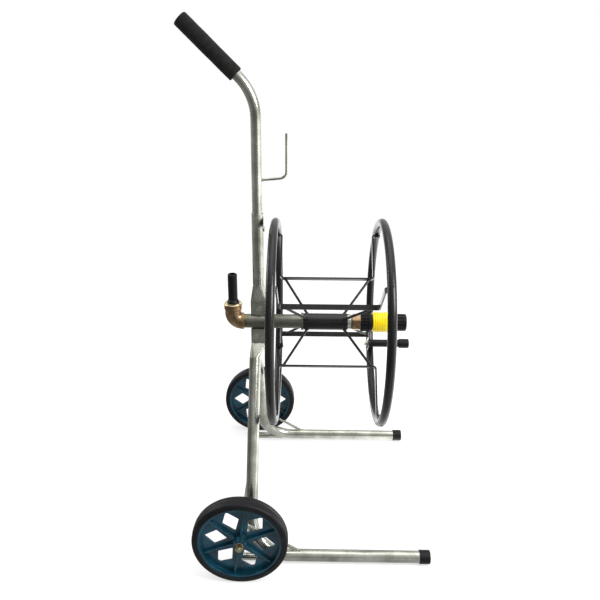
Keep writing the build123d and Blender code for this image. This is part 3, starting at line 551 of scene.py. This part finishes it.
def buildTailCollar():
    points = nodePoints("inlet_tail")
    low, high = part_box("inlet_tail")
    middle = (low + high) / 2
    foot = Vector((middle.x, middle.y, elbowTop))
    stem = points[points[:, 2] > (elbowTop + high.z) / 2]
    radius = np.hypot(stem[:, 0] - middle.x, stem[:, 1] - middle.y).max()
    inner = radius - collarSettings["lap"] * mm
    outer = collarSettings["radius"] * mm
    edge = collarSettings["edge"] * mm
    height = collarSettings["height"] * mm
    profile = [(0.0, inner), (0.0, outer), (edge, outer), (height, radius + collarSettings["lap"] * mm)]
    profile += [(height, inner), (0.0, inner)]
    mesh = lathe("tailCollar", profile, collarSettings["sides"], foot, Vector((0, 0, 1)))
    addPiece("tailCollar", mesh, materials["black"], "frame")


buildTailCollar()
print("tail collar made")


# weld seams: a chain of small overlapping beads along each path, one mesh for each body
weldSettings = {"pitch": 0.9, "bead": 1.1, "roundness": 2, "uneven": 0.22, "seed": 7, "ringSides": 24,
                "seamLength": 14.0}


def beadGroup():
    group = bpy.data.node_groups.new("weldBeads", "GeometryNodeTree")
    sockets = group.interface
    sockets.new_socket("Geometry", in_out="INPUT", socket_type="NodeSocketGeometry")
    sockets.new_socket("Pitch", in_out="INPUT", socket_type="NodeSocketFloat")
    sockets.new_socket("Bead", in_out="INPUT", socket_type="NodeSocketFloat")
    sockets.new_socket("Uneven", in_out="INPUT", socket_type="NodeSocketFloat")
    sockets.new_socket("Seed", in_out="INPUT", socket_type="NodeSocketInt")
    sockets.new_socket("Material", in_out="INPUT", socket_type="NodeSocketMaterial")
    sockets.new_socket("Geometry", in_out="OUTPUT", socket_type="NodeSocketGeometry")
    given = addNode(group, "NodeGroupInput").outputs
    seam = addNode(group, "GeometryNodeMeshToCurve", {"Mesh": given["Geometry"]})
    steps = addNode(group, "GeometryNodeResampleCurve", {"Curve": seam.outputs[0],
                                                         "Length": given["Pitch"]}, mode="LENGTH")
    bead = addNode(group, "GeometryNodeMeshIcoSphere", {"Radius": given["Bead"],
                                                       "Subdivisions": weldSettings["roundness"]})
    least = addNode(group, "ShaderNodeMath", {0: 1.0, 1: given["Uneven"]}, operation="SUBTRACT")
    most = addNode(group, "ShaderNodeMath", {0: 1.0, 1: given["Uneven"]}, operation="ADD")
    size = addNode(group, "FunctionNodeRandomValue", {2: least.outputs[0], 3: most.outputs[0],
                                                      "Seed": given["Seed"]}, data_type="FLOAT")
    row = addNode(group, "GeometryNodeInstanceOnPoints", {"Points": steps.outputs[0],
                                                          "Instance": bead.outputs[0],
                                                          "Scale": size.outputs[1]})
    plain = addNode(group, "GeometryNodeRealizeInstances", {"Geometry": row.outputs[0]})
    dressed = addNode(group, "GeometryNodeSetMaterial", {"Geometry": plain.outputs[0],
                                                         "Material": given["Material"]})
    addNode(group, "NodeGroupOutput", {"Geometry": dressed.outputs[0]})
    return group


weldGroup = beadGroup()


def weldMesh(name, seams, material):  # seams are lists of points, closed where the last point is the first
    points = [point for seam in seams for point in seam]
    edges = []
    first = 0
    for seam in seams:
        edges += [(first + step, first + step + 1) for step in range(len(seam) - 1)]
        first += len(seam)
    paths = bpy.data.meshes.new(name)
    paths.from_pydata(points, edges, [])
    holder = bpy.data.objects.new(name, paths)
    bpy.context.scene.collection.objects.link(holder)
    beads = holder.modifiers.new("beads", "NODES")
    beads.node_group = weldGroup
    values = {"Pitch": weldSettings["pitch"] * mm, "Bead": weldSettings["bead"] * mm,
              "Uneven": weldSettings["uneven"], "Seed": weldSettings["seed"], "Material": material}
    for socket in weldGroup.interface.items_tree:
        if socket.in_out == "INPUT" and socket.name in values:
            beads[socket.identifier] = values[socket.name]
    done = holder.evaluated_get(bpy.context.evaluated_depsgraph_get())
    mesh = bpy.data.meshes.new_from_object(done)
    bpy.data.objects.remove(holder)
    return mesh


def ringSeam(middle, direction, radius):
    circle = around(middle, direction, radius, weldSettings["ringSides"])
    return circle + [circle[0]]


def hookSeam():  # round the foot of the hose hook
    low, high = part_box("hose_hook")
    tubeLow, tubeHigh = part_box("handle_tube")
    radius = (high.y - low.y) / 2
    face = tubeHigh.x
    return ringSeam(Vector((face, (low.y + high.y) / 2, low.z + radius)), Vector((1, 0, 0)), radius)


def lugSeams():  # along both sides of the lugs, where they stand on the pipe
    pipeLow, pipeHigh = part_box("axle_pipe")
    radius = (pipeHigh.z - pipeLow.z) / 2
    seams = []
    for name, up in (("upper_lug", 1), ("lower_lug", -1)):
        low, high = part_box(name)
        height = reelAxis.z + up * math.sqrt(radius ** 2 - high.y ** 2)
        seams += [[Vector((low.x, y, height)), Vector((high.x, y, height))] for y in (low.y, high.y)]
    return seams


def staySeams():  # along both sides of the foot of each axle stay
    seams = []
    for side in ("left", "right"):
        low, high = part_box(side + "_axle_stay")
        back = high.x - weldSettings["seamLength"] * mm
        seams += [[Vector((back, y, low.z)), Vector((high.x, y, low.z))] for y in (low.y, high.y)]
    return seams


def strutSeams(name):  # round both ends of each wire strut
    points = nodePoints(name)
    radius = np.hypot(points[:, 1] - reelAxis.y, points[:, 2] - reelAxis.z)
    turns = np.arctan2(points[:, 2] - reelAxis.z, points[:, 1] - reelAxis.y)
    seams = []
    for strip in (node for node in nodes if node.startswith("drum_strip_")):
        middle = sum(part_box(strip), Vector()) / 2 - reelAxis
        apart = np.angle(np.exp(1j * (turns - math.atan2(middle.z, middle.y))))
        mine = np.abs(apart) < math.pi / 4
        wire = np.abs(radius * np.sin(apart))[mine].max()
        foot = points[mine & (radius < radius.min() + wire)].mean(0)
        head = points[mine & (radius > radius.max() - wire)].mean(0)
        direction = Vector(head - foot).normalized()
        seams += [ringSeam(Vector(end), direction, wire) for end in (foot, head)]
    return seams


frameSeams = [hookSeam()] + lugSeams() + staySeams()
frameWelds = weldMesh("frameWelds", frameSeams, materials["weld"])
addPiece("frameWelds", frameWelds, materials["weld"], "frame")
reelSeams = strutSeams("rear_struts") + strutSeams("front_struts")
reelWelds = weldMesh("reelWelds", reelSeams, materials["enamel"])
addPiece("reelWelds", reelWelds, materials["enamel"], "reel")
print("welds made:", len(frameSeams), "seams on the frame,", len(reelSeams), "on the reel")
